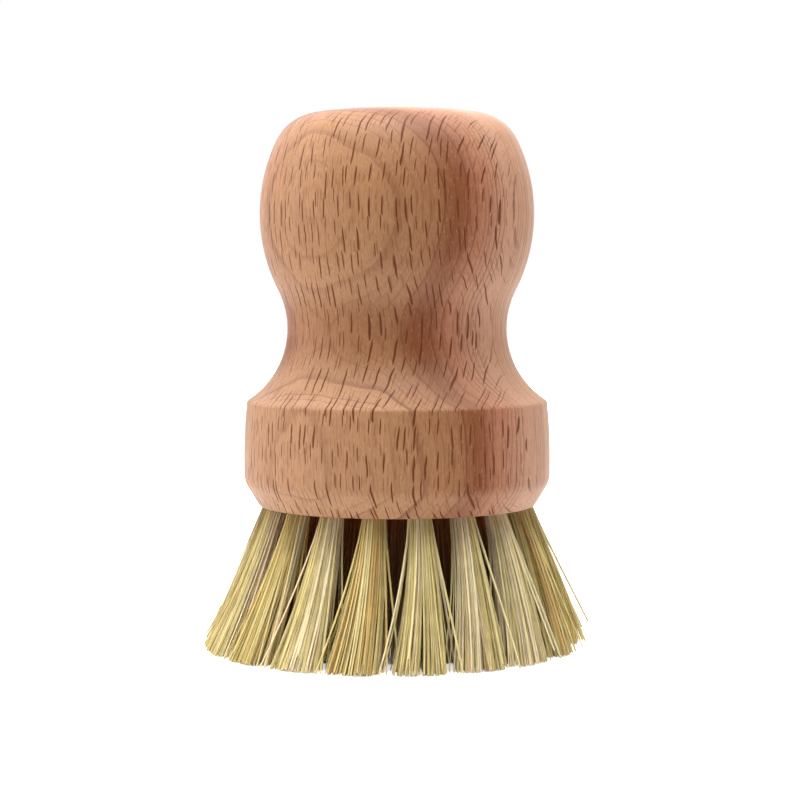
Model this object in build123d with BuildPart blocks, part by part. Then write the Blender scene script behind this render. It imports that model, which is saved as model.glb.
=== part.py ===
from build123d import *
import os
from math import cos, radians, sin, sqrt

# Palm brush, standing on its bristles. A turned beech handle is knob and block in one piece: a
# flattened ball that fills the palm, a waist for the fingertips and a round block below it. Tufts
# of plant fibre sit in drilled holes in the block's underside, in rings that lean outwards. Each
# tuft is folded under a small strip of steel wire whose ends bite into the walls of its hole.
# The origin is on the brush's axis, in the plane of the trimmed tips, with Z up.

# Driving dimensions of the turned handle, from the tips upwards, in millimetres
trim_length = 23.2
bevel_width = 2.5
bevel_height = 4.2
belly_height = 7.8
block_diameter = 50.2
block_thickness = 17.1
rim_inset = 0.5
cove_rise = 11.9
neck_diameter = 35.9
knob_rise = 18.6
knob_diameter = 44.8
crown_rise = 17.2

# The crown and the knob's side would meet in a corner, which a round takes off
corner_diameter = 34.6
corner_drop = 1.3
corner_round = 8.1

# Broken edges of the block
rim_break = 0.3
bevel_round = 2.0

# Where the flank turns from hollow to round, as a share of the way from the neck to the knob
flank_turn_share = 0.34

# Holes: rings one pitch apart, each with six holes more and one more step of lean
hole_diameter = 3.8
hole_depth = 10.0
hole_edge_margin = 0.35
outer_lean_angle = 19.0
holes_per_step = 6
ring_names = ["inner", "middle", "outer"]

# Anchors: flat strips of wire on edge across the holes, near their ends
anchor_width = 2.2
anchor_thickness = 0.4
anchor_bite = 0.5
fold_thickness = 0.6

# Tufts: a packed butt in the hole, and locks of fibre that fan out of it
butt_clearance = 0.05
butt_sides = 12
butt_proud = 0.8
fan_diameter = 7.7
lock_root_width = 0.5
lock_tip_width = 1.1
lock_spacing = 0.1
lock_embed = 0.5
locks_per_circle = 8

# Cutting tools and locks run past the faces that they are cut at
overrun = 1.0

# Levels and radii that follow
underside_diameter = block_diameter - 2 * bevel_width
rim_diameter = block_diameter - 2 * rim_inset
underside_z = trim_length
bevel_top_z = underside_z + bevel_height
belly_z = underside_z + belly_height
rim_z = underside_z + block_thickness
neck_z = rim_z + cove_rise
knob_z = neck_z + knob_rise
crown_z = knob_z + crown_rise
hole_radius = hole_diameter / 2
outer_ring_radius = underside_diameter / 2 - hole_edge_margin - hole_radius / cos(radians(outer_lean_angle))
ring_pitch = outer_ring_radius / len(ring_names)
lean_step = outer_lean_angle / len(ring_names)
anchor_length = hole_diameter + 2 * anchor_bite
anchor_depth = hole_depth - fold_thickness - anchor_width / 2
butt_radius = hole_radius - butt_clearance


def seat_planes(ring_radius, lean_angle, count):
    """Planes at the mouths of one ring's holes, Z out of the block along the tuft, X along the ring."""
    planes = []
    lean = radians(lean_angle)
    for number in range(count):
        bearing = radians(360 * number / count)
        outward = Vector(cos(bearing), sin(bearing), 0)
        planes.append(
            Plane(
                origin=outward * ring_radius + Vector(0, 0, underside_z),
                x_dir=Vector(-sin(bearing), cos(bearing), 0),
                z_dir=outward * sin(lean) - Vector(0, 0, cos(lean)),
            )
        )
    return planes


def make_tuft(seat, lean_angle):
    """One tuft: a butt with a slot for its anchor, and locks that fan out of it, trimmed level."""
    lean = radians(lean_angle)
    root = seat.offset(butt_proud - lock_embed)
    run = (underside_z + fan_diameter / 2 * sin(lean) + overrun) / cos(lean)
    root_reach = butt_radius * cos(radians(180 / butt_sides)) - lock_root_width * sqrt(2) / 2 - lock_spacing
    tip_reach = fan_diameter / 2 - lock_tip_width * sqrt(2) / 2
    lock_places = [(0, 0)] + [(1, 360 * number / locks_per_circle) for number in range(locks_per_circle)]
    with BuildPart() as tuft:
        with BuildSketch(seat.offset(butt_proud)):
            RegularPolygon(butt_radius, butt_sides)
        extrude(amount=-(hole_depth + butt_proud))
        locks = []
        for reach_share, bearing in lock_places:
            step_out = reach_share * (tip_reach - root_reach)
            spread = (lock_tip_width - lock_root_width) / 2
            lock = Wedge(
                lock_root_width,
                run,
                lock_root_width,
                step_out - spread,
                -spread,
                step_out + lock_root_width + spread,
                lock_root_width + spread,
                align=Align.NONE,
                mode=Mode.PRIVATE,
            )
            corner = Location((reach_share * root_reach - lock_root_width / 2, 0, lock_root_width / 2))
            locks.append(lock.moved(root.location * Rotation(0, 0, bearing) * corner * Rotation(90, 0, 0)))
        add(locks)
        with Locations(seat.offset(-anchor_depth)):
            Box(anchor_length, anchor_thickness, anchor_width, mode=Mode.SUBTRACT)
        split(bisect_by=Plane.XY, keep=Keep.TOP)
    return tuft.part


# Rings of holes, from the one in the middle outwards: name, lean and seats
rings = [("centre", 0, seat_planes(0, 0, 1))]
for step, ring_name in enumerate(ring_names, start=1):
    lean_angle = step * lean_step
    rings.append((ring_name, lean_angle, seat_planes(step * ring_pitch, lean_angle, step * holes_per_step)))
seats = [seat for ring in rings for seat in ring[2]]

# Handle, turned in one piece, then drilled and slit by the anchors
with BuildPart() as handle:
    with BuildSketch(Plane.XZ) as turned:
        with BuildLine():
            top = (0, crown_z)
            corner = (corner_diameter / 2, crown_z - corner_drop)
            girth = Vector(knob_diameter / 2, knob_z)
            neck = Vector(neck_diameter / 2, neck_z)
            flank_turn = neck + (girth - neck) * flank_turn_share
            rim = (rim_diameter / 2, rim_z)
            belly = (block_diameter / 2, belly_z)
            bevel_top = (block_diameter / 2, bevel_top_z)
            TangentArc(top, corner, tangent=(1, 0))
            TangentArc(girth, corner, tangent=(0, 1))
            flank = TangentArc(girth, flank_turn, tangent=(0, -1))
            TangentArc(flank_turn, neck, tangent=flank % 1)
            TangentArc(neck, rim, tangent=(0, -1))
            TangentArc(belly, rim, tangent=(0, 1))
            Polyline(belly, bevel_top, (underside_diameter / 2, underside_z), (0, underside_z), top)
        make_face()
        fillet(turned.vertices().sort_by_distance(corner)[0], corner_round)
        fillet(turned.vertices().sort_by_distance(bevel_top)[0], bevel_round)
        chamfer(turned.vertices().sort_by_distance(rim)[0], rim_break)
    revolve(axis=Axis.Z)
    with Locations(*[seat.offset(overrun) for seat in seats]):
        Hole(hole_radius, hole_depth + overrun)
    with Locations(*[seat.offset(-anchor_depth) for seat in seats]):
        Box(anchor_length, anchor_thickness, anchor_width, mode=Mode.SUBTRACT)
handle.part.label = "handle"

os.makedirs("parts", exist_ok=True)
export_step(handle.part, "parts/handle.step")

# Anchors and tufts, ring by ring; the first tuft of a ring is turned about the axis to make the rest
for ring_name, lean_angle, ring_seats in rings:
    with BuildPart() as anchors:
        with Locations(*[seat.offset(-anchor_depth) for seat in ring_seats]):
            Box(anchor_length, anchor_thickness, anchor_width)
    anchors.part.label = f"anchors_{ring_name}"
    export_step(anchors.part, f"parts/{anchors.part.label}.step")

    first_tuft = make_tuft(ring_seats[0], lean_angle)
    for number in range(len(ring_seats)):
        with BuildPart() as tuft:
            add(first_tuft, rotation=(0, 0, 360 * number / len(ring_seats)))
        tuft.part.label = f"tuft_{ring_name}_{number + 1:02d}" if len(ring_seats) > 1 else "tuft_centre"
        export_step(tuft.part, f"parts/{tuft.part.label}.step")
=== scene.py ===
"""Palm brush: a turned beech knob and block in one piece, standing on its tufts of plant fibre.

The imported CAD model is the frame. Every piece stands where its CAD node stands, in metres, with the
origin on the brush's axis in the plane of the trimmed tips, and Z up.
"""

import logging
from dataclasses import dataclass, field
from enum import Enum
from math import atan2, cos, hypot, pi, radians, sin, sqrt
from typing import NamedTuple

import bpy
import numpy as np
from bpy.types import Material, Mesh, Node, NodeSocket, NodeTree, Object
from mathutils import Matrix, Vector


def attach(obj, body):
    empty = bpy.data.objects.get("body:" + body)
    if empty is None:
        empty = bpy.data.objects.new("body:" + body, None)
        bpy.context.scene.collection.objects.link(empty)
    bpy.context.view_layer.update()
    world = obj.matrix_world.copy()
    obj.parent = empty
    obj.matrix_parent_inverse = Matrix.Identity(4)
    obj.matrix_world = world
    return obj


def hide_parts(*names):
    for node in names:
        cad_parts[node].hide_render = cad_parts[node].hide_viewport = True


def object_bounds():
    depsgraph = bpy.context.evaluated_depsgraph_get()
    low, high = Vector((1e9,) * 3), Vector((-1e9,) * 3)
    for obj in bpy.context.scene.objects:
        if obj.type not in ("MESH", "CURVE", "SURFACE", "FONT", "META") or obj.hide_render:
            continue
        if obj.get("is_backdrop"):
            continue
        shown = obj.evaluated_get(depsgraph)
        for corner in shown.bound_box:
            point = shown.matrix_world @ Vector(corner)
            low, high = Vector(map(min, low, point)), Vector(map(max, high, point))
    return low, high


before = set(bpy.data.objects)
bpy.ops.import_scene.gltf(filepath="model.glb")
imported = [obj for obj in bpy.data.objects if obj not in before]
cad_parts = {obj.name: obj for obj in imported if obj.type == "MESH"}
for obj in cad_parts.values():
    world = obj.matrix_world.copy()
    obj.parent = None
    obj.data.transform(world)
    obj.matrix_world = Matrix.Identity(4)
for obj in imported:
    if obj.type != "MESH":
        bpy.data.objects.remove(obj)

MM = 0.001
BODY = "root"
LOG = logging.getLogger("palm_brush")

# Most values of a noise lie between these two
NOISE_LOW, NOISE_HIGH = 0.3, 0.7
NOISE_OCTAVES = 2.0

Pair = tuple[float, float]
Triple = tuple[float, float, float]
Colour = tuple[float, float, float, float]
Stops = tuple[tuple[float, str], ...]

# The corners and the faces of a strand
Strand = tuple[np.ndarray, list[tuple[int, ...]]]

# What feeds an input: an output, or a node whose first output is meant
Feed = Node | NodeSocket
Settings = dict[str | int, object]


class Ring(Enum):
    """The rings of tufts, from the middle outwards, by how many ring pitches they are out."""

    CENTRE = 0
    INNER = 1
    MIDDLE = 2
    OUTER = 3

    @property
    def share(self) -> float:
        """How far out the ring is, as a share of the way to the outermost one."""
        return self.value / (len(Ring) - 1)


class Slot(Enum):
    """The material slots of the pieces that are made here."""

    BEECH = "beech"
    FIBRE = "fibre"


def linear(colour: str) -> Colour:
    """Turn an sRGB hex colour into the linear colour that a shader takes.

    Args:
        colour: Hash sign and six hex digits.

    Returns:
        Linear red, green and blue, and an alpha of 1.
    """
    parts = [int(colour[place : place + 2], 16) / 255 for place in (1, 3, 5)]
    red, green, blue = (
        part / 12.92 if part <= 0.04045 else ((part + 0.055) / 1.055) ** 2.4 for part in parts
    )
    return red, green, blue, 1.0


def set_inputs(node: Node, settings: Settings) -> None:
    """Set a node's properties, and set or link its inputs.

    Args:
        node: The node.
        settings: Values by property name, or by the name or number of an input. An output, or a
            node for its first output, is linked.
    """
    for name, value in settings.items():
        if isinstance(value, Node):
            value = value.outputs[0]
        if isinstance(value, NodeSocket):
            node.id_data.links.new(value, node.inputs[name])
        elif isinstance(name, str) and name in node.bl_rna.properties:
            setattr(node, name, value)
        else:
            node.inputs[name].default_value = value


def add_node(tree: NodeTree, kind: str, settings: Settings | None = None) -> Node:
    """Add a node.

    Args:
        tree: Node tree that gets the node.
        kind: Blender's name for the type of node, without its prefix.
        settings: What set_inputs takes, with the node's properties first.

    Returns:
        The new node.
    """
    node = tree.nodes.new("ShaderNode" + kind)
    set_inputs(node, settings or {})
    return node


def add_ramp(tree: NodeTree, factor: Feed, stops: Stops) -> Feed:
    """Add a colour ramp.

    Args:
        tree: Node tree that gets the ramp.
        factor: Output that drives it.
        stops: Place and sRGB hex colour of each stop, in rising order.

    Returns:
        The ramp's colour.
    """
    ramp = add_node(tree, "ValToRGB", {"Fac": factor})
    elements = ramp.color_ramp.elements
    while len(elements) < len(stops):
        elements.new(1.0)
    for element, (place, colour) in zip(elements, stops):
        element.position = place
        element.color = linear(colour)
    return ramp.outputs["Color"]


def add_swing(tree: NodeTree, noise: Feed, swing: float) -> Feed:
    """Turn a noise into a level around 1.

    Args:
        tree: Node tree that gets the node.
        noise: The noise.
        swing: How far the level goes above and below 1.

    Returns:
        The level.
    """
    ends = {"From Min": NOISE_LOW, "From Max": NOISE_HIGH, "To Min": 1 - swing, "To Max": 1 + swing}
    return add_node(tree, "MapRange", ends | {"Value": noise})


def start_material(name: str, settings: Settings) -> tuple[Material, Node]:
    """Make a material that holds one Principled shader and its output.

    Args:
        name: The material's name.
        settings: Values of the shader's inputs.

    Returns:
        The material and its shader.
    """
    material = bpy.data.materials.new(name)
    material.use_nodes = True
    tree = material.node_tree
    tree.nodes.clear()
    shader = add_node(tree, "BsdfPrincipled", settings)
    add_node(tree, "OutputMaterial", {"Surface": shader})
    return material, shader


class Turn(NamedTuple):
    """A smooth turn from one level to another, while a value passes from start to end."""

    start: float
    end: float
    before: float
    after: float


class Streaks(NamedTuple):
    """Streaks of one size that stand along the grain, with octaves of finer ones in them."""

    width_mm: float
    height_mm: float
    octaves: float


@dataclass(frozen=True)
class RayCut:
    """Marks of one size that stand upright in the wood: cut rays, or pale flecks of lifted fibre."""

    width_mm: float
    height_mm: float
    cell_width_mm: float
    cell_height_mm: float
    left_out: float
    colour: str
    cover: float


@dataclass(frozen=True)
class TurnedBeech:
    """Steamed beech, turned, sanded and left matt.

    The eye sees a tan wood with a redder zone towards the heart behind a dark streak, growth lines
    that draw ovals and long curves where the turned shape cuts through them, and the short dark
    dashes of the rays where they are cut across, among pale flecks of lifted fibre. Where the
    surface faces up or down, a pale veil is painted over the wood as painted light, for the sheen
    and the bounce that brighten these faces. The pattern is solid: it is cut from one block of
    grain, so it runs on through knob, waist and block, and into the holes.
    """

    zones: Stops = (
        (-15.0, "#B58667"),
        (-8.0, "#B18369"),
        (-3.0, "#A26A4F"),
        (-0.7, "#7E482B"),
        (0.4, "#7F4B2C"),
        (2.0, "#956544"),
        (7.0, "#A0734F"),
        (15.0, "#AB8163"),
    )
    growth_line: str = "#642F14"
    growth_cover: float = 0.95
    # Painted light: a pale veil laid over the faces that face up or down, by how squarely they do
    painted_veil: str = "#E2C3A8"
    painted_veil_cover: float = 0.1
    painted_veil_slope: Turn = Turn(0.15, 0.55, 0.0, 1.0)
    grain_turn: float = radians(35)
    pith_distance_mm: float = 60.0
    zone_radius_mm: float = 73.8
    ring_width_mm: float = 1.6
    ring_drift: float = 2.4
    ring_drift_rate: float = 0.35
    ring_strengths: Pair = (0.4, 1.0)
    late_wood: Turn = Turn(0.3, 0.95, 0.0, 0.28)
    closing_line: Turn = Turn(0.78, 0.9, 0.0, 0.7)
    line_end: Turn = Turn(0.96, 1.0, 1.0, 0.0)
    lying_along: Turn = Turn(0.6, 0.98, 1.0, 0.35)
    narrow_rings: float = 4.0
    narrow_from_mm: float = -8.0
    narrow_to_mm: float = 5.0
    sway_mm: float = 5.0
    sway_per_mm: Triple = (0.06, 0.06, 0.02)
    broad_rays: RayCut = RayCut(0.26, 3.9, 1.35, 4.4, 0.08, "#5A2600", 0.97)
    fine_rays: RayCut = RayCut(0.18, 2.2, 0.7, 2.6, 0.25, "#6E3A14", 0.5)
    flecks: RayCut = RayCut(0.16, 0.55, 0.45, 0.9, 0.5, "#E0B890", 0.11)
    ray_shrink: Pair = (0.75, 1.6)
    ray_jitter: float = 0.8
    ray_point: float = 4.0
    ray_edge: Turn = Turn(0.55, 1.1, 1.0, 0.0)
    rays_crossed: Turn = Turn(0.15, 0.45, 0.0, 1.0)
    waver: Streaks = Streaks(2.0, 3.0, 1.0)
    waver_mm: float = 0.35
    fibre: Streaks = Streaks(0.24, 2.2, 3.0)
    fibre_swing: float = 0.17
    cloud: Streaks = Streaks(5.0, 14.0, 2.0)
    cloud_swing: float = 0.06
    streak_roughness: float = 0.6
    roughness: float = 0.55
    roughness_swing: float = 0.1
    gloss: float = 0.18
    nap: float = 0.16
    nap_roughness: float = 0.3
    grain_relief_mm: float = 0.04
    grain_strength: float = 0.6

    def make(self) -> Material:
        """Build the material.

        Returns:
            The beech material.
        """
        settings = {"Specular IOR Level": self.gloss, "Sheen Weight": self.nap}
        settings["Sheen Roughness"] = self.nap_roughness
        material, shader = start_material("beech_turned_sanded", settings)
        set_inputs(shader, GrainBlock(self, material.node_tree).surface())
        return material


@dataclass
class GrainBlock:
    """The block of beech that a piece is cut from: nodes that read a place in it in millimetres."""

    wood: TurnedBeech
    tree: NodeTree
    place: Feed = field(init=False)

    def __post_init__(self) -> None:
        """Find the place in the block, with the pith at the origin, and let the grain sway."""
        settings = {"Scale": (1 / MM, 1 / MM, 1 / MM), "Rotation": (0, 0, self.wood.grain_turn)}
        settings["Location"] = (0, -self.wood.pith_distance_mm, 0)
        steady = self.add("Mapping", settings | {"Vector": self.add("TexCoord").outputs["Object"]})
        slow = self.add("Mapping", {"Scale": self.wood.sway_per_mm, "Vector": steady})
        settings = {"Scale": 1.0, "Detail": NOISE_OCTAVES, "Vector": slow}
        noise = self.add("TexNoise", settings).outputs["Color"]
        shift = self.add("VectorMath", {"operation": "SUBTRACT", 0: noise, 1: (0.5, 0.5, 0.5)})
        sway = (self.wood.sway_mm, self.wood.sway_mm, 0.0)
        self.place = self.add("VectorMath", {"operation": "MULTIPLY_ADD", 0: shift, 1: sway, 2: steady})

    def add(self, kind: str, settings: Settings | None = None) -> Node:
        """Add a node to the pattern, as add_node does."""
        return add_node(self.tree, kind, settings)

    def surface(self) -> Settings:
        """Put the pattern together.

        Returns:
            What feeds the shader's inputs.
        """
        wood = self.wood
        reach, around, height = self.polar()
        facing = self.facing()
        colour = self.growth(self.zone(reach), reach, facing)
        fibre, cloud, bend = (self.streaks(size) for size in (wood.fibre, wood.cloud, wood.waver))
        for noise, swing in ((fibre, wood.fibre_swing), (cloud, wood.cloud_swing)):
            level = add_swing(self.tree, noise, swing)
            colour = self.add("VectorMath", {"operation": "SCALE", 0: colour, "Scale": level})
        # Painted light: a pale veil over the faces that face up or down
        colour = self.mix(colour, wood.painted_veil, self.painted_veil_mask(), wood.painted_veil_cover)
        crossed = self.step(facing, wood.rays_crossed)
        around = self.add("Math", {"operation": "MULTIPLY_ADD", 0: bend, 1: wood.waver_mm, 2: around})
        for rays in (wood.flecks, wood.fine_rays, wood.broad_rays):
            marks = self.dashes(around, height, crossed, rays)
            colour = self.mix(colour, rays.colour, marks, rays.cover)
        relief = {"Strength": wood.grain_strength, "Distance": wood.grain_relief_mm * MM}
        relief["Height"] = self.add("Math", {"operation": "SUBTRACT", 0: fibre, 1: marks})
        dull, fair = wood.roughness + wood.roughness_swing, wood.roughness - wood.roughness_swing
        matt = self.add("MapRange", {"To Min": dull, "To Max": fair, "Value": fibre})
        return {"Base Color": colour, "Normal": self.add("Bump", relief), "Roughness": matt}

    def flat(self) -> Feed:
        """Find the place without its height."""
        return self.add("VectorMath", {"operation": "MULTIPLY", 0: self.place, 1: (1.0, 1.0, 0.0)})

    def polar(self) -> tuple[Feed, Feed, Feed]:
        """Find the distance from the pith, the way round it and the height along the trunk.

        Returns:
            Distance, way round at the zone's radius, and height, all in millimetres.
        """
        aside, out, height = self.add("SeparateXYZ", {0: self.place}).outputs
        reach = self.add("VectorMath", {"operation": "LENGTH", 0: self.flat()}).outputs["Value"]
        back = self.add("Math", {"operation": "MULTIPLY", 0: out, 1: -1.0})
        turn = self.add("Math", {"operation": "ARCTAN2", 0: aside, 1: back})
        around = self.add("Math", {"operation": "MULTIPLY", 0: turn, 1: self.wood.zone_radius_mm})
        return reach, around, height

    def zone(self, reach: Feed) -> Feed:
        """Colour the wood by its distance from the dark streak, redder towards the pith.

        Args:
            reach: Distance from the pith.

        Returns:
            The colour of the zone.
        """
        zones, streak = self.wood.zones, self.wood.zone_radius_mm
        inner, outer = zones[0][0], zones[-1][0]
        ends = {"From Min": streak + inner, "From Max": streak + outer}
        across = self.add("MapRange", ends | {"Value": reach})
        stops = tuple(((place - inner) / (outer - inner), colour) for place, colour in zones)
        return add_ramp(self.tree, across, stops)

    def growth(self, colour: Feed, reach: Feed, facing: Feed) -> Feed:
        """Darken each year's growth towards its end, where a thin line closes it.

        Args:
            colour: The colour so far.
            reach: Distance from the pith.
            facing: How squarely the surface faces the pith, or away from it.

        Returns:
            The colour with its growth lines.
        """
        wood = self.wood
        years = self.add("Math", {"operation": "DIVIDE", 0: reach, 1: wood.ring_width_mm})
        settings = {"noise_dimensions": "1D", "Scale": wood.ring_drift_rate, "Detail": 1.0, "W": years}
        uneven = self.add("TexNoise", settings).outputs["Fac"]
        years = self.add("Math", {"operation": "MULTIPLY_ADD", 0: uneven, 1: wood.ring_drift, 2: years})
        start, end = wood.zone_radius_mm + wood.narrow_from_mm, wood.zone_radius_mm + wood.narrow_to_mm
        more = self.step(reach, Turn(start, end, 0.0, wood.narrow_rings))
        years = self.add("Math", {"operation": "ADD", 0: years, 1: more})
        phase = self.add("Math", {"operation": "FRACT", 0: years})
        number = self.add("Math", {"operation": "FLOOR", 0: years})
        chance = self.add("TexWhiteNoise", {"noise_dimensions": "1D", "W": number}).outputs["Value"]
        faint, full = wood.ring_strengths
        strength = self.add("MapRange", {"To Min": faint, "To Max": full, "Value": chance})
        late = self.step(phase, wood.late_wood)
        line = self.step(phase, wood.closing_line)
        ended = self.step(phase, wood.line_end)
        along = self.step(facing, wood.lying_along)
        dark = self.add("Math", {"operation": "ADD", 0: late, 1: line})
        for share in (ended, strength, along):
            dark = self.add("Math", {"operation": "MULTIPLY", 0: dark, 1: share})
        return self.mix(colour, wood.growth_line, dark, wood.growth_cover)

    def step(self, value: Feed, turn: Turn) -> Feed:
        """Turn a value smoothly from one level to another.

        Args:
            value: What is read.
            turn: Where it turns, and its levels before and after.

        Returns:
            The level.
        """
        ends = {"From Min": turn.start, "From Max": turn.end, "To Min": turn.before, "To Max": turn.after}
        return self.add("MapRange", {"interpolation_type": "SMOOTHSTEP"} | ends | {"Value": value})

    def facing(self) -> Feed:
        """Find how squarely the surface faces the pith: there it cuts across the rays.

        Returns:
            1 where the surface faces the pith or away from it, and 0 where it faces aside.
        """
        settings = {"vector_type": "NORMAL", "Rotation": (0, 0, self.wood.grain_turn)}
        turned = self.add("Mapping", settings | {"Vector": self.add("NewGeometry").outputs["Normal"]})
        outward = self.add("VectorMath", {"operation": "NORMALIZE", 0: self.flat()})
        aligned = self.add("VectorMath", {"operation": "DOT_PRODUCT", 0: turned, 1: outward})
        return self.add("Math", {"operation": "ABSOLUTE", 0: aligned.outputs["Value"]})

    def painted_veil_mask(self) -> Feed:
        """Find where the surface faces up or down, which gets a pale veil of painted light.

        Returns:
            1 on the crown, the cove and the bevel, and 0 where the surface stands upright.
        """
        normal = self.add("NewGeometry").outputs["Normal"]
        upward = self.add("SeparateXYZ", {0: normal}).outputs[2]
        return self.step(self.add("Math", {"operation": "ABSOLUTE", 0: upward}), self.wood.painted_veil_slope)

    def dashes(self, around: Feed, height: Feed, crossed: Feed, rays: RayCut) -> Feed:
        """Scatter rays: thin upright plates that point at the pith.

        Args:
            around: Way round the pith.
            height: Height along the trunk.
            crossed: 1 where the surface cuts across the rays.
            rays: Their size, spacing and number.

        Returns:
            1 in a ray and 0 outside.
        """
        place = self.add("CombineXYZ", {0: around, 1: height})
        cell = (rays.cell_width_mm, rays.cell_height_mm, 1.0)
        scaled = self.add("VectorMath", {"operation": "DIVIDE", 0: place, 1: cell})
        settings = {"voronoi_dimensions": "2D", "Scale": 1.0, "Randomness": self.wood.ray_jitter}
        cells = self.add("TexVoronoi", settings | {"Vector": scaled}).outputs
        away = self.add("VectorMath", {"operation": "SUBTRACT", 0: scaled, 1: cells["Position"]})
        sizes = (2 * rays.cell_width_mm / rays.width_mm, 2 * rays.cell_height_mm / rays.height_mm, 0.0)
        share = self.add("VectorMath", {"operation": "MULTIPLY", 0: away, 1: sizes})
        chance = self.add("SeparateXYZ", {0: cells["Color"]}).outputs
        least, most = self.wood.ray_shrink
        shrink = self.add("MapRange", {"To Min": least, "To Max": most, "Value": chance[1]})
        share = self.add("VectorMath", {"operation": "SCALE", 0: share, "Scale": shrink})
        aside, upward, _ = self.add("SeparateXYZ", {0: share}).outputs
        across = self.add("Math", {"operation": "ABSOLUTE", 0: aside})
        along = self.add("Math", {"operation": "POWER", 0: upward, 1: self.wood.ray_point})
        spindle = self.add("Math", {"operation": "ADD", 0: across, 1: along})
        shown = self.step(spindle, self.wood.ray_edge)
        held = self.add("Math", {"operation": "GREATER_THAN", 0: chance[0], 1: rays.left_out})
        for share in (held, crossed):
            shown = self.add("Math", {"operation": "MULTIPLY", 0: shown, 1: share})
        return shown

    def streaks(self, size: Streaks) -> Feed:
        """Draw streaks that stand along the grain.

        Args:
            size: Their size.

        Returns:
            A value around one half, low in a dark streak.
        """
        block = (size.width_mm, size.width_mm, size.height_mm)
        scaled = self.add("VectorMath", {"operation": "DIVIDE", 0: self.place, 1: block})
        settings = {"Scale": 1.0, "Detail": size.octaves, "Roughness": self.wood.streak_roughness}
        return self.add("TexNoise", settings | {"Vector": scaled}).outputs["Fac"]

    def mix(self, under: Feed, over: str, amount: Feed, most: float) -> Feed:
        """Lay a colour over another.

        Args:
            under: The colour so far.
            over: sRGB hex colour that is laid over it.
            amount: Where, from 0 to 1.
            most: How much of it covers where the amount is 1.

        Returns:
            The mixed colour.
        """
        share = self.add("Math", {"operation": "MULTIPLY", 0: amount, 1: most})
        return self.add("Mix", {"data_type": "RGBA", 0: share, 6: under, 7: linear(over)}).outputs[2]


@dataclass(frozen=True)
class TampicoFibre:
    """Undyed tampico, the stiff fibre of agave leaves, combed and cut.

    The eye sees straight matt strands from straw and olive to cream and pinkish beige, in locks of
    like tint. The inner tufts and the roots are painted a dark brown as painted shade, where little
    light comes back out between the tufts.
    """

    tints: Stops = (
        (0.0, "#BD975C"),
        (0.12, "#C7A96B"),
        (0.3, "#C8B576"),
        (0.5, "#D0C087"),
        (0.68, "#D7C996"),
        (0.85, "#DFD0AE"),
        (1.0, "#DCC1A2"),
    )
    # Painted shade: the dark brown that the fibre turns to inside the brush and at the roots, where the
    # light value is low
    depth: str = "#6E2A04"
    roughness: float = 0.6
    gloss: float = 0.02
    patch_mm: float = 2.5
    patch_swing: float = 0.1

    def make(self) -> Material:
        """Build the material.

        Returns:
            The fibre material.
        """
        settings = {"Roughness": self.roughness, "Specular IOR Level": self.gloss}
        material, shader = start_material("tampico_fibre_combed_cut", settings)
        tree = material.node_tree
        marks = add_node(tree, "Attribute", {"attribute_name": "fibre"}).outputs["Vector"]
        tint, level, light = add_node(tree, "SeparateXYZ", {0: marks}).outputs
        colour = add_ramp(tree, tint, self.tints)
        place = add_node(tree, "TexCoord").outputs["Object"]
        settings = {"Scale": 1 / (self.patch_mm * MM), "Detail": NOISE_OCTAVES, "Vector": place}
        patch = add_node(tree, "TexNoise", settings).outputs["Fac"]
        uneven = add_swing(tree, patch, self.patch_swing)
        shade = add_node(tree, "Math", {"operation": "MULTIPLY", 0: uneven, 1: level})
        colour = add_node(tree, "VectorMath", {"operation": "SCALE", 0: colour, "Scale": shade})
        # Painted shade: mix towards the dark brown where the strand's light value is low
        settings = {"data_type": "RGBA", 0: light, 6: linear(self.depth), 7: colour}
        set_inputs(shader, {"Base Color": add_node(tree, "Mix", settings).outputs[2]})
        return material


@dataclass(frozen=True)
class DrawnSteelWire:
    """Flat steel wire, drawn bright: grey, with fine lines along it and a satin gloss.

    Real drawing lines are too fine to show, so these are drawn as coarse as it takes.
    """

    bright: str = "#B9BBBA"
    dull: str = "#8F9190"
    line_mm: float = 0.15
    roughness: Pair = (0.25, 0.5)

    def make(self) -> Material:
        """Build the material.

        Returns:
            The wire's material.
        """
        material, shader = start_material("steel_wire_drawn_flat", {"Metallic": 1.0})
        tree = material.node_tree
        place = add_node(tree, "TexCoord").outputs["Object"]
        settings = {"Scale": 1 / (self.line_mm * MM), "Detail": NOISE_OCTAVES, "Vector": place}
        lines = add_node(tree, "TexNoise", settings).outputs["Fac"]
        colour = add_ramp(tree, lines, ((NOISE_LOW, self.dull), (NOISE_HIGH, self.bright)))
        shiny, dull = self.roughness
        gloss = add_node(tree, "MapRange", {"To Min": shiny, "To Max": dull, "Value": lines})
        set_inputs(shader, {"Base Color": colour, "Roughness": gloss})
        return material


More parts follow.
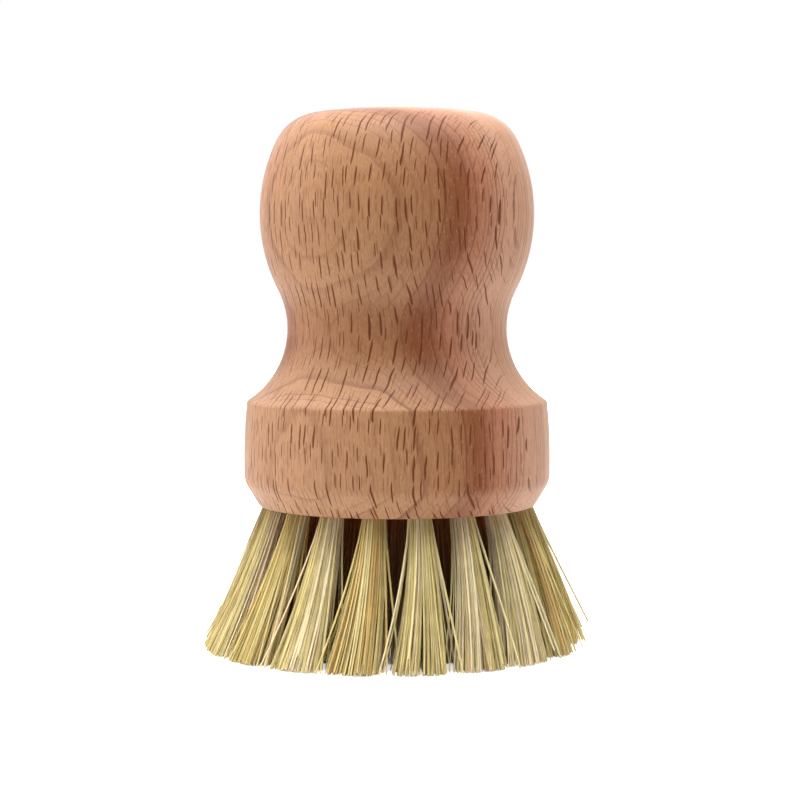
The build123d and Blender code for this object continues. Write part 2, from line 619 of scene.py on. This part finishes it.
@dataclass(frozen=True)
class PaperSweep:
    """White paper under the brush: pure white to the lens, with the brush's soft shadow on it."""

    paper: str = "#F4F4F4"
    tooth: str = "#EDEDED"
    bounce: str = "#F0F0F0"
    tooth_per_metre: float = 900.0
    near_glow: float = 0.55
    far_glow: float = 1.0
    near_edge: float = 0.08
    far_edge: float = 0.5

    def make(self) -> Material:
        """Build the material.

        Returns:
            The paper's material.
        """
        material = bpy.data.materials.new("paper_matt_white")
        material.use_nodes = True
        tree = material.node_tree
        tree.nodes.clear()
        place = add_node(tree, "TexCoord").outputs["Object"]
        settings = {"Scale": self.tooth_per_metre, "Detail": NOISE_OCTAVES, "Vector": place}
        tooth = add_node(tree, "TexNoise", settings).outputs["Fac"]
        colour = add_ramp(tree, tooth, ((NOISE_LOW, self.tooth), (NOISE_HIGH, self.paper)))
        matt = add_node(tree, "BsdfDiffuse", {"Color": colour})
        dim = add_node(tree, "BsdfDiffuse", {"Color": linear(self.bounce)})
        away = add_node(tree, "VectorMath", {"operation": "LENGTH", 0: place}).outputs["Value"]
        settings = {"From Min": self.near_edge, "From Max": self.far_edge}
        settings |= {"To Min": self.near_glow, "To Max": self.far_glow, "Value": away}
        strength = add_node(tree, "MapRange", settings)
        glow = add_node(tree, "Emission", {"Color": (1.0, 1.0, 1.0, 1.0), "Strength": strength})
        lit = add_node(tree, "AddShader", {0: matt, 1: glow})
        seen = add_seen(tree)
        surface = add_node(tree, "MixShader", {0: seen, 1: dim, 2: lit})
        add_node(tree, "OutputMaterial", {"Surface": surface})
        return material


def add_seen(tree: NodeTree) -> Feed:
    """Add nodes that tell a ray from the lens, a mirror or a glass from one that carries light.

    Args:
        tree: Node tree that gets them.

    Returns:
        1 where the background is seen and 0 where it lights something.
    """
    path = add_node(tree, "LightPath").outputs
    seen = path["Is Camera Ray"]
    for kind in ("Is Glossy Ray", "Is Transmission Ray"):
        seen = add_node(tree, "Math", {"operation": "MAXIMUM", 0: seen, 1: path[kind]})
    return seen


def finish_piece(piece: Object, name: str, material: Material, slot: Slot, *nodes: str) -> None:
    """Name a finished piece, dress it and hide the CAD nodes that it replaces.

    Args:
        piece: The mesh object, at the origin.
        name: Its name.
        material: Its material.
        slot: Not used.
        *nodes: CAD nodes that it replaces.
    """
    piece.name = name
    piece.data.name = name
    piece.data.materials.clear()
    piece.data.materials.append(material)
    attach(piece, BODY)
    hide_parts(*nodes)
    LOG.info("%s: %d vertices, %d faces", name, len(piece.data.vertices), len(piece.data.polygons))


@dataclass(frozen=True)
class Holes:
    """The drilled holes: one in the middle of the underside, and rings of them that lean outwards."""

    trim_length: float = 23.2 * MM
    underside_diameter: float = 45.2 * MM
    diameter: float = 3.8 * MM
    depth: float = 10.0 * MM
    edge_margin: float = 0.35 * MM
    outer_lean: float = radians(19.0)
    per_step: int = 6

    def lean(self, ring: Ring) -> float:
        """Lean of a ring's holes from upright."""
        return self.outer_lean * ring.share

    def seats(self, ring: Ring) -> list[Matrix]:
        """Find the hole mouths of one ring.

        Args:
            ring: Which ring.

        Returns:
            A matrix for each hole: Z out of the block along the tuft, X along the ring.
        """
        margin = self.edge_margin + self.diameter / 2 / cos(self.outer_lean)
        radius = (self.underside_diameter / 2 - margin) * ring.share
        lean = self.lean(ring)
        count = max(1, ring.value * self.per_step)
        places = []
        for number in range(count):
            bearing = 2 * pi * number / count
            outward = Vector((cos(bearing), sin(bearing), 0))
            along = Vector((-sin(bearing), cos(bearing), 0))
            out = outward * sin(lean) - Vector((0, 0, cos(lean)))
            place = Matrix((along, out.cross(along), out)).transposed().to_4x4()
            place.translation = outward * radius + Vector((0, 0, self.trim_length))
            places.append(place)
        return places


@dataclass(frozen=True)
class Arc:
    """An arc of the turned outline, in the plane of the axis: x is the radius and y the height."""

    centre: Vector
    start: Vector
    end: Vector

    @classmethod
    def leaving(cls, start: Vector, heading: Vector, end: Vector) -> "Arc":
        """Find the arc that leaves one point in a direction and passes another.

        Args:
            start: Where it starts.
            heading: Unit vector along it there.
            end: Where it ends.

        Returns:
            The arc.
        """
        across = Vector((-heading.y, heading.x))
        chord = end - start
        return cls(start + across * (chord.length_squared / (2 * across.dot(chord))), start, end)

    @property
    def radius(self) -> float:
        """Radius of the arc."""
        return (self.start - self.centre).length

    def points(self, pitch: float) -> list[Vector]:
        """Divide the arc.

        Args:
            pitch: Greatest distance from point to point.

        Returns:
            Points from its start to its end, both included.
        """
        first = atan2(*reversed(self.start - self.centre))
        sweep = (self.end - self.centre).angle_signed(self.start - self.centre)
        count = max(2, round(abs(sweep) * self.radius / pitch))
        angles = [first + sweep * step / count for step in range(count + 1)]
        return [self.centre + Vector((cos(angle), sin(angle))) * self.radius for angle in angles]


@dataclass
class TurnedHandle:
    """Knob, waist and block, turned in one piece and drilled for the tufts."""

    holes: Holes = Holes()
    bevel_height: float = 4.2 * MM
    belly_height: float = 7.8 * MM
    block_diameter: float = 50.2 * MM
    block_thickness: float = 17.1 * MM
    rim_diameter: float = 49.2 * MM
    cove_rise: float = 11.9 * MM
    neck_diameter: float = 35.9 * MM
    knob_rise: float = 18.6 * MM
    knob_diameter: float = 44.8 * MM
    crown_rise: float = 17.2 * MM
    corner_diameter: float = 34.6 * MM
    corner_drop: float = 1.3 * MM
    corner_round: float = 8.1 * MM
    rim_break: float = 0.3 * MM
    bevel_round: float = 2.0 * MM
    flank_turn_share: float = 0.34
    pitch: float = 0.8 * MM
    weld: float = 0.01 * MM
    near: float = 0.02 * MM
    break_steps: int = 2
    bevel_steps: int = 5
    run_out: float = 2 * MM
    smooth_below: float = radians(30)
    turns: int = 160
    bore_sides: int = 40

    def outline(self) -> list[Vector]:
        """Draw the outline that the lathe follows.

        Returns:
            Points from the middle of the crown to the middle of the underside.
        """
        underside = self.holes.trim_length
        rim_z = underside + self.block_thickness
        neck = Vector((self.neck_diameter / 2, rim_z + self.cove_rise))
        girth = Vector((self.knob_diameter / 2, neck.y + self.knob_rise))
        top = Vector((0, girth.y + self.crown_rise))
        corner = Vector((self.corner_diameter / 2, top.y - self.corner_drop))
        flank_turn = neck.lerp(girth, self.flank_turn_share)
        rim = Vector((self.rim_diameter / 2, rim_z))
        belly = Vector((self.block_diameter / 2, underside + self.belly_height))
        crown = Arc.leaving(top, Vector((1, 0)), corner)
        side = Arc.leaving(girth, Vector((0, 1)), corner)
        shoulder = self.rounded(crown, side, corner)
        flank = Arc.leaving(girth, Vector((0, -1)), flank_turn)
        spoke = flank_turn - flank.centre
        waist = Arc.leaving(flank_turn, Vector((spoke.y, -spoke.x)).normalized(), neck)
        cove = Arc.leaving(neck, Vector((0, -1)), rim)
        band = Arc.leaving(belly, Vector((0, 1)), rim)
        arcs = [
            Arc(crown.centre, top, shoulder.start),
            shoulder,
            Arc(side.centre, shoulder.end, girth),
            flank,
            waist,
            cove,
            Arc(band.centre, rim, belly),
        ]
        points = [top]
        for arc in arcs:
            points += arc.points(self.pitch)[1:]
        points.append(Vector((self.block_diameter / 2, underside + self.bevel_height)))
        points.append(Vector((self.holes.underside_diameter / 2, underside)))
        points.append(Vector((0, underside)))
        return points

    def rounded(self, crown: Arc, side: Arc, corner: Vector) -> Arc:
        """Round the corner between the crown and the knob's side.

        Args:
            crown: Arc over the top.
            side: Arc up the side.
            corner: Where they meet.

        Returns:
            The arc that touches both.
        """
        base = side.centre - crown.centre
        far, near = crown.radius - self.corner_round, side.radius - self.corner_round
        reach = (far**2 - near**2 + base.length_squared) / (2 * base.length)
        rise = sqrt(far**2 - reach**2)
        along = base.normalized()
        foot = crown.centre + along * reach
        across = Vector((-along.y, along.x)) * rise
        centre = min((foot + across, foot - across), key=lambda place: (place - corner).length)
        start = crown.centre + (centre - crown.centre).normalized() * crown.radius
        end = side.centre + (centre - side.centre).normalized() * side.radius
        return Arc(centre, start, end)

    def turn(self) -> Object:
        """Spin the outline into a closed body and break its edges.

        Returns:
            The turned body.
        """
        points = self.outline()
        bpy.ops.mesh.primitive_plane_add(size=MM, location=(0, 0, points[0].y))
        body = bpy.context.object
        bpy.ops.object.transform_apply(location=True)
        bpy.ops.object.mode_set(mode="EDIT")
        bpy.ops.mesh.select_all(action="SELECT")
        bpy.ops.mesh.merge(type="CENTER")
        for here, there in zip(points, points[1:]):
            step = there - here
            bpy.ops.mesh.extrude_region_move(TRANSFORM_OT_translate={"value": (step.x, 0, step.y)})
        bpy.ops.mesh.select_all(action="SELECT")
        bpy.ops.mesh.spin(steps=self.turns, angle=2 * pi, center=(0, 0, 0), axis=(0, 0, 1))
        bpy.ops.mesh.select_all(action="SELECT")
        bpy.ops.mesh.remove_doubles(threshold=self.weld)
        bpy.ops.mesh.normals_make_consistent(inside=False)
        bpy.ops.object.mode_set(mode="OBJECT")
        rim_z = self.holes.trim_length + self.block_thickness
        self.bevel_ring(body, self.rim_diameter / 2, rim_z, self.rim_break, self.break_steps)
        bevel_z = self.holes.trim_length + self.bevel_height
        self.bevel_ring(body, self.block_diameter / 2, bevel_z, self.bevel_round / 2, self.bevel_steps)
        mouth = self.holes.underside_diameter / 2
        self.bevel_ring(body, mouth, self.holes.trim_length, self.rim_break, self.break_steps)
        return body

    def bevel_ring(self, body: Object, radius: float, height: float, width: float, steps: int) -> None:
        """Round one circular edge of the turned body.

        Args:
            body: The turned body.
            radius: Radius of the edge.
            height: Height of the edge.
            width: Width of the round on each side of the edge.
            steps: Segments of the round.
        """
        bpy.ops.object.mode_set(mode="EDIT")
        bpy.ops.mesh.select_mode(type="VERT")
        bpy.ops.mesh.select_all(action="DESELECT")
        bpy.ops.object.mode_set(mode="OBJECT")
        for corner in body.data.vertices:
            place = corner.co
            off = max(abs(place.z - height), abs(hypot(place.x, place.y) - radius))
            corner.select = off < self.near
        bpy.ops.object.mode_set(mode="EDIT")
        bpy.ops.mesh.select_mode(type="EDGE")
        bpy.ops.mesh.bevel(offset=width, segments=steps, profile=0.5, affect="EDGES")
        bpy.ops.object.mode_set(mode="OBJECT")

    def drill(self, body: Object) -> None:
        """Drill the holes for the tufts.

        Args:
            body: The turned body.
        """
        bits = []
        depth = self.holes.depth
        for seat in (seat for ring in Ring for seat in self.holes.seats(ring)):
            bpy.ops.mesh.primitive_cylinder_add(
                vertices=self.bore_sides,
                radius=self.holes.diameter / 2,
                depth=depth + self.run_out,
                location=seat @ Vector((0, 0, (self.run_out - depth) / 2)),
                rotation=seat.to_euler(),
            )
            bits.append(bpy.context.object)
        for bit in bits:
            bit.select_set(True)
        bpy.context.view_layer.objects.active = bits[0]
        bpy.ops.object.join()
        drills = bpy.context.object
        body.select_set(True)
        bpy.context.view_layer.objects.active = body
        cut = body.modifiers.new("drill", "BOOLEAN")
        cut.operation = "DIFFERENCE"
        cut.solver = "EXACT"
        cut.object = drills
        bpy.ops.object.modifier_apply(modifier=cut.name)
        bpy.data.objects.remove(drills)

    def build(self, material: Material) -> None:
        """Turn, drill and dress the handle.

        Args:
            material: The beech.
        """
        body = self.turn()
        self.drill(body)
        bpy.ops.object.shade_smooth_by_angle(angle=self.smooth_below)
        finish_piece(body, "beech_handle", material, Slot.BEECH, "handle")


@dataclass
class TuftField:
    """The tufts: bundles of fibre, each folded under an anchor in its hole and fanned out of it."""

    holes: Holes = Holes()
    anchor_half_thickness: float = 0.2 * MM
    anchor_top: float = 7.2 * MM
    fold_depth: float = 9.7 * MM
    strands: int = 230
    strand_sides: int = 4
    butt_stations: int = 4
    strand_width: float = 0.215 * MM
    strand_width_spread: float = 0.055 * MM
    fan_across: float = 4.9 * MM
    fan_outward: float = 3.8 * MM
    fan_curve: float = 1.3
    tip_scatter: float = 0.3 * MM
    trim_scatter: float = 0.11 * MM
    trim_rise: float = 0.6 * MM
    side_set: float = 1.4 * MM
    bow: float = 0.12 * MM
    root_scatter: float = 0.04 * MM
    half_strand: float = 0.75
    gathered_at_fold: Pair = (0.9, 0.95)
    fold_width: float = 0.4
    fold_rise: float = 0.9 * MM
    width_limits: Pair = (0.6, 1.7)
    flatness: Pair = (0.65, 1.0)
    tip_taper: float = 0.25
    stray_share: float = 0.08
    stray_reach: float = 1.3 * MM
    stray_limit: float = 2.5 * MM
    stray_bow: float = 2.2
    loose_strands: int = 7
    loose_reach: Pair = (0.5 * MM, 2.4 * MM)
    loose_width: float = 1.4
    loose_level: float = 1.12
    edge_scatter: float = 0.2 * MM
    locks: int = 7
    lock_pull: float = 0.3
    lock_area: Pair = (0.1, 0.8)
    splay_power: int = 4
    stations: tuple[float, ...] = (0.15, 0.32, 0.5, 0.67, 0.84, 1.0)
    lock_tints: Pair = (0.3, 0.85)
    lock_tint_spread: float = 0.13
    tint_spread: float = 0.17
    level_spread: float = 0.075
    level_limits: Pair = (0.75, 1.15)
    least_reach: float = 1e-6
    # Painted shade: strands are darker at the root, under the block, and a little paler at the tip
    painted_root_shade: Pair = (0.9, 1.03)
    # Painted shade by ring, centre first: share along the strand and how much of the fibre's own colour is
    # kept, 0 being the painted dark brown, so inner tufts and roots are painted dark
    light: tuple[tuple[Pair, ...], ...] = (
        ((0.0, 0.0), (0.7, 0.08), (1.0, 0.8)),
        ((0.0, 0.0), (0.7, 0.1), (1.0, 0.8)),
        ((0.0, 0.05), (0.7, 0.3), (1.0, 0.9)),
        ((0.0, 0.6), (0.3, 1.0), (1.0, 1.0)),
    )
    seed: int = 37
    draws: np.random.Generator = field(init=False)
    half_box: np.ndarray = field(init=False)

    def __post_init__(self) -> None:
        """Start the seeded draws that scatter the strands, and take the reach of the CAD tufts."""
        self.draws = np.random.default_rng(self.seed)
        self.half_box = np.array(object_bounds()[1][:2])

    def model_strand(self) -> Strand:
        """Model one strand, square in section, with a ring of corners at each station.

        Returns:
            Its corners, with x and y across it and z the number of the station, and its faces.
        """
        rings = len(self.stations) + self.butt_stations
        bpy.ops.mesh.primitive_circle_add(vertices=self.strand_sides, radius=1.0, fill_type="NGON")
        strand = bpy.context.object
        bpy.ops.object.mode_set(mode="EDIT")
        bpy.ops.mesh.select_all(action="SELECT")
        bpy.ops.mesh.flip_normals()
        for _ in range(rings - 1):
            bpy.ops.mesh.extrude_region_move(TRANSFORM_OT_translate={"value": (0, 0, 1.0)})
        bpy.ops.mesh.select_all(action="SELECT")
        bpy.ops.mesh.normals_make_consistent(inside=False)
        bpy.ops.object.mode_set(mode="OBJECT")
        corners = np.array([corner.co for corner in strand.data.vertices])
        faces = [tuple(face.vertices) for face in strand.data.polygons]
        bpy.data.objects.remove(strand)
        return corners, faces

    def centre_lines(self, ring: Ring) -> tuple[np.ndarray, np.ndarray, np.ndarray]:
        """Scatter the strands of one tuft.

        Args:
            ring: Its ring.

        Returns:
            Points of each strand, as strand, station and place at the hole's mouth, how far along
            it from mouth to tip each station is, and the lock that each strand belongs to.
        """
        count = self.strands
        number = np.arange(count)
        golden = pi * (3 - sqrt(5))
        spin = self.draws.uniform(0, 2 * pi)
        spread = np.sqrt((number + 0.5) / count)
        bearing = number * golden + spin
        disc = np.stack([np.cos(bearing), np.sin(bearing)], 1) * spread[:, None]
        packed = self.holes.diameter / 2 - self.strand_width * self.half_strand
        root = disc * packed + self.draws.normal(0, self.root_scatter, (count, 2))
        lock_bearing = self.draws.uniform(0, 2 * pi, self.locks)
        lock_spread = np.sqrt(self.draws.uniform(*self.lock_area, self.locks))
        locks = np.stack([np.cos(lock_bearing), np.sin(lock_bearing)], 1) * lock_spread[:, None]
        lock = ((disc[:, None] - locks[None]) ** 2).sum(2).argmin(1)
        gathered = disc + (locks[lock] - disc) * self.lock_pull
        gathered /= np.maximum(1.0, np.linalg.norm(gathered, axis=1))[:, None]
        fan = np.array([self.fan_across, self.fan_outward])
        tip = gathered * fan + self.draws.normal(0, self.tip_scatter, (count, 2))
        stray = self.draws.random(count) < self.stray_share
        wander = self.draws.normal(0, self.stray_reach, (count, 2)).clip(-self.stray_limit, self.stray_limit)
        tip = np.where(stray[:, None], tip + wander, tip)
        loose = slice(-self.loose_strands, None)
        beyond = fan + self.draws.uniform(*self.loose_reach, self.loose_strands)[:, None]
        tip[loose] = disc[loose] / np.linalg.norm(disc[loose], axis=1)[:, None] * beyond
        bow = self.draws.normal(0, self.bow, (count, 2)) * np.where(stray, self.stray_bow, 1.0)[:, None]
        splayed = np.maximum(tip[:, 1] / self.fan_outward, 0) ** self.splay_power
        splayed *= ring.share**2
        tip_z = np.abs(self.draws.normal(0, self.trim_scatter, count)) + self.trim_rise * splayed
        lean = self.holes.lean(ring)
        run = (self.holes.trim_length - tip_z + tip[:, 1] * sin(lean)) / cos(lean)
        share = np.array(self.stations)
        lines = np.empty((count, len(share) + self.butt_stations, 3))
        side = np.where(root[:, 1] < 0, -1.0, 1.0)
        clear = self.anchor_half_thickness + self.strand_width * self.half_strand
        in_fold, over_fold = self.gathered_at_fold
        fold = np.full(count, -self.fold_depth)
        beside = side * np.maximum(np.abs(root[:, 1]), clear)
        lines[:, 0] = np.stack([root[:, 0] * in_fold, side * clear * self.fold_width, fold], 1)
        lines[:, 1] = np.stack([root[:, 0] * over_fold, beside, fold + self.fold_rise], 1)
        lines[:, 2] = np.stack([root[:, 0], beside, np.full(count, -self.anchor_top)], 1)
        lines[:, 3] = np.stack([root[:, 0], root[:, 1], np.zeros(count)], 1)
        for place, part in enumerate(share, start=self.butt_stations):
            opened = part**self.fan_curve
            sideways = root + (tip - root) * opened + bow * (4 * part * (1 - part))
            lines[:, place] = np.concatenate([sideways, (run * part)[:, None]], 1)
        return lines, np.concatenate([np.zeros(self.butt_stations), share]), lock

    def kept_inside(self, lines: np.ndarray) -> np.ndarray:
        """Draw in the strands whose tips would stand further out than the CAD tufts' do.

        Args:
            lines: Points of each strand, as strand, station and place.

        Returns:
            The same points, drawn in towards the holes where that is needed.
        """
        room = self.half_box - self.strand_width
        reach = np.linalg.norm(lines[:, -1, :2] / room, axis=1)
        fanned = self.butt_stations
        start = np.linalg.norm(lines[:, fanned - 1, :2] / room, axis=1)
        limit = 1 - np.abs(self.draws.normal(0, self.edge_scatter / room[0], len(lines)))
        share = np.minimum(1.0, (limit - start) / np.maximum(reach - start, self.least_reach))
        share = np.where(reach > limit, share, 1.0)
        mouth = lines[:, fanned - 1 : fanned, :2]
        lines[:, fanned:, :2] = mouth + (lines[:, fanned:, :2] - mouth) * share[:, None, None]
        return lines

    def tuft(self, name: str, seat: Matrix, ring: Ring, strand: Strand) -> Object:
        """Copy the strand into every place of one tuft.

        Args:
            name: Name of the tuft.
            seat: Place of its hole's mouth.
            ring: Its ring.
            strand: Corners and faces of one strand.

        Returns:
            The tuft.
        """
        corners, faces = strand
        lines, shares, lock = self.centre_lines(ring)
        station = np.rint(corners[:, 2]).astype(int)
        placed = self.sweep(lines, shares, corners[:, :2], station, seat)
        firsts = [number * len(corners) for number in range(len(lines))]
        all_faces = [tuple(first + corner for corner in face) for first in firsts for face in faces]
        mesh = bpy.data.meshes.new(name)
        mesh.from_pydata(placed.reshape(-1, 3).tolist(), [], all_faces)
        self.mark(mesh, lock, ring, shares[station])
        tuft = bpy.data.objects.new(name, mesh)
        bpy.context.scene.collection.objects.link(tuft)
        return tuft

    def sweep(
        self, lines: np.ndarray, shares: np.ndarray, section: np.ndarray, station: np.ndarray, seat: Matrix
    ) -> np.ndarray:
        """Sweep the strand's section along the centre lines of one tuft.

        Args:
            lines: Points of each strand, as strand, station and place at the hole's mouth.
            shares: How far along a strand each station is.
            section: Place of each corner across the strand.
            station: Number of each corner's station.
            seat: Place of the hole's mouth.

        Returns:
            Where the corners stand on the brush, as strand, corner and place.
        """
        count = len(lines)
        width = self.draws.normal(self.strand_width, self.strand_width_spread, count)
        width = np.clip(width, *(limit * self.strand_width for limit in self.width_limits))
        width[-self.loose_strands :] = self.loose_width * self.strand_width
        flat = self.draws.uniform(*self.flatness, count)
        turn = self.draws.uniform(0, pi, count)
        taper = 1 - self.tip_taper * shares[station]
        along = np.stack([np.cos(turn), np.sin(turn)], 1)
        across = np.stack([-np.sin(turn), np.cos(turn)], 1)
        half = width[:, None] / sqrt(2) * taper[None]
        offset = section[None, :, 0, None] * along[:, None]
        offset = offset + section[None, :, 1, None] * across[:, None] * flat[:, None, None]
        offset = offset * half[..., None]
        turned = np.array(seat.to_3x3())
        lines = lines @ turned.T + np.array(seat.translation)
        lines[..., 0] -= self.side_set * shares**2
        placed = self.kept_inside(lines)[:, station]
        placed += np.concatenate([offset, np.zeros((*offset.shape[:2], 1))], 2) @ turned.T
        placed[..., 2] = np.maximum(placed[..., 2], 0)
        return placed

    def mark(self, mesh: Mesh, lock: np.ndarray, ring: Ring, along: np.ndarray) -> None:
        """Note each corner's tint, level and painted shade, for the fibre's material to read.

        Args:
            mesh: The tuft's mesh.
            lock: The lock that each strand belongs to.
            ring: The tuft's ring.
            along: How far along its strand each corner is.
        """
        count = len(lock)
        lock_tint = self.draws.uniform(*self.lock_tints)
        lock_tint = lock_tint + self.draws.normal(0, self.lock_tint_spread, self.locks)
        tint = np.clip(lock_tint[lock] + self.draws.normal(0, self.tint_spread, count), 0, 1)
        level = np.clip(self.draws.normal(1.0, self.level_spread, count), *self.level_limits)
        level[-self.loose_strands :] = self.loose_level
        values = np.empty((count, len(along), 3))
        values[..., 0] = tint[:, None]
        # Painted shade: each strand's level is darker at the root and a little paler at the tip
        values[..., 1] = level[:, None] * np.interp(along, (0, 1), self.painted_root_shade)[None]
        # Painted shade: the light value, low in the inner rings and at the roots, mixes the fibre towards
        # dark brown
        values[..., 2] = np.interp(along, *zip(*self.light[ring.value]))[None]
        marks = mesh.attributes.new("fibre", "FLOAT_VECTOR", "POINT")
        marks.data.foreach_set("vector", values.astype(np.float32).ravel())

    def build(self, material: Material) -> None:
        """Build and dress every tuft.

        Args:
            material: The fibre.
        """
        strand = self.model_strand()
        for ring in Ring:
            for number, seat in enumerate(self.holes.seats(ring), start=1):
                node = "tuft_centre" if ring is Ring.CENTRE else f"tuft_{ring.name.lower()}_{number:02d}"
                tuft = self.tuft(f"fibre_{node}", seat, ring, strand)
                finish_piece(tuft, f"fibre_{node}", material, Slot.FIBRE, node)


@dataclass
class Anchors:
    """The strips of flat wire that hold the tufts, which keep their CAD shapes."""

    prefix: str = "anchors_"

    def dress(self, material: Material) -> None:
        """Give every anchor its steel.

        Args:
            material: The steel.
        """
        for name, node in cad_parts.items():
            if name.startswith(self.prefix):
                node.data.materials.clear()
                node.data.materials.append(material)
                LOG.info("%s: dressed", name)


@dataclass
class Lamp:
    """A soft box."""

    name: str
    place: Triple
    size: Pair
    power: float
    aim: Triple = (0.0, 0.0, 0.045)

    def hang(self) -> None:
        """Add the lamp and aim it."""
        light = bpy.data.lights.new(self.name, "AREA")
        light.shape = "RECTANGLE"
        light.size, light.size_y = self.size
        light.energy = self.power
        lamp = bpy.data.objects.new(self.name, light)
        lamp.location = self.place
        lamp.rotation_euler = (Vector(self.aim) - Vector(self.place)).to_track_quat("-Z", "Y").to_euler()
        bpy.context.scene.collection.objects.link(lamp)


@dataclass
class Studio:
    """White sweep, soft boxes and the camera of the photograph."""

    camera_distance: float = 377 * MM
    camera_side: float = 0.49 * MM
    camera_height: float = 63 * MM
    camera_pitch: float = radians(3.434)
    lens: float = 103.5
    clip_start: float = 10 * MM
    sensor: float = 36.0
    sweep_size: float = 6.0
    sky_level: float = 0.02
    lamps: list[Lamp] = field(
        default_factory=lambda: [
            Lamp("softbox_top", (0.0, -0.06, 0.7), (0.6, 0.5), 10.2),
            Lamp("softbox_left", (-0.6, 0.05, 0.3), (0.4, 0.5), 3.3),
            Lamp("softbox_right", (0.6, -0.05, 0.38), (0.4, 0.5), 0.3),
            Lamp("softbox_back", (-0.1, 0.6, 0.5), (0.8, 0.5), 2.6),
        ]
    )

    def place_camera(self) -> None:
        """Stand the camera where the photograph was taken from."""
        lens = bpy.data.cameras.new("camera")
        lens.lens = self.lens
        lens.sensor_width = self.sensor
        lens.clip_start = self.clip_start
        camera = bpy.data.objects.new("camera", lens)
        camera.location = (self.camera_side, -self.camera_distance, self.camera_height)
        camera.rotation_euler = (pi / 2 - self.camera_pitch, 0, 0)
        bpy.context.scene.collection.objects.link(camera)
        bpy.context.scene.camera = camera

    def lay_paper(self, material: Material) -> None:
        """Lay the white paper under the brush.

        Args:
            material: The paper's material.
        """
        bpy.ops.mesh.primitive_plane_add(size=self.sweep_size, location=(0, 0, 0))
        paper = bpy.context.object
        paper.name = "paper"
        paper.data.materials.append(material)
        paper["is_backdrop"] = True

    def light_sky(self) -> None:
        """Fill the space around with even white light, and show it to the lens as pure white."""
        world = bpy.data.worlds.new("white_studio")
        world.use_nodes = True
        tree = world.node_tree
        tree.nodes.clear()
        seen = add_seen(tree)
        level = add_node(tree, "MapRange", {"To Min": self.sky_level, "To Max": 1.0, "Value": seen})
        sky = add_node(tree, "Background", {"Color": (1.0, 1.0, 1.0, 1.0), "Strength": level})
        add_node(tree, "OutputWorld", {"Surface": sky})
        bpy.context.scene.world = world

    def build(self) -> None:
        """Set up the whole studio."""
        self.place_camera()
        self.lay_paper(PaperSweep().make())
        self.light_sky()
        for lamp in self.lamps:
            lamp.hang()
        bpy.context.scene.view_settings.view_transform = "Standard"


def main() -> None:
    """Build the brush and its studio."""
    logging.basicConfig(level=logging.INFO, format="%(name)s: %(message)s")
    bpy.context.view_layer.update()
    Studio().build()
    TurnedHandle().build(TurnedBeech().make())
    TuftField().build(TampicoFibre().make())
    Anchors().dress(DrawnSteelWire().make())


if __name__ == "__main__":
    main()
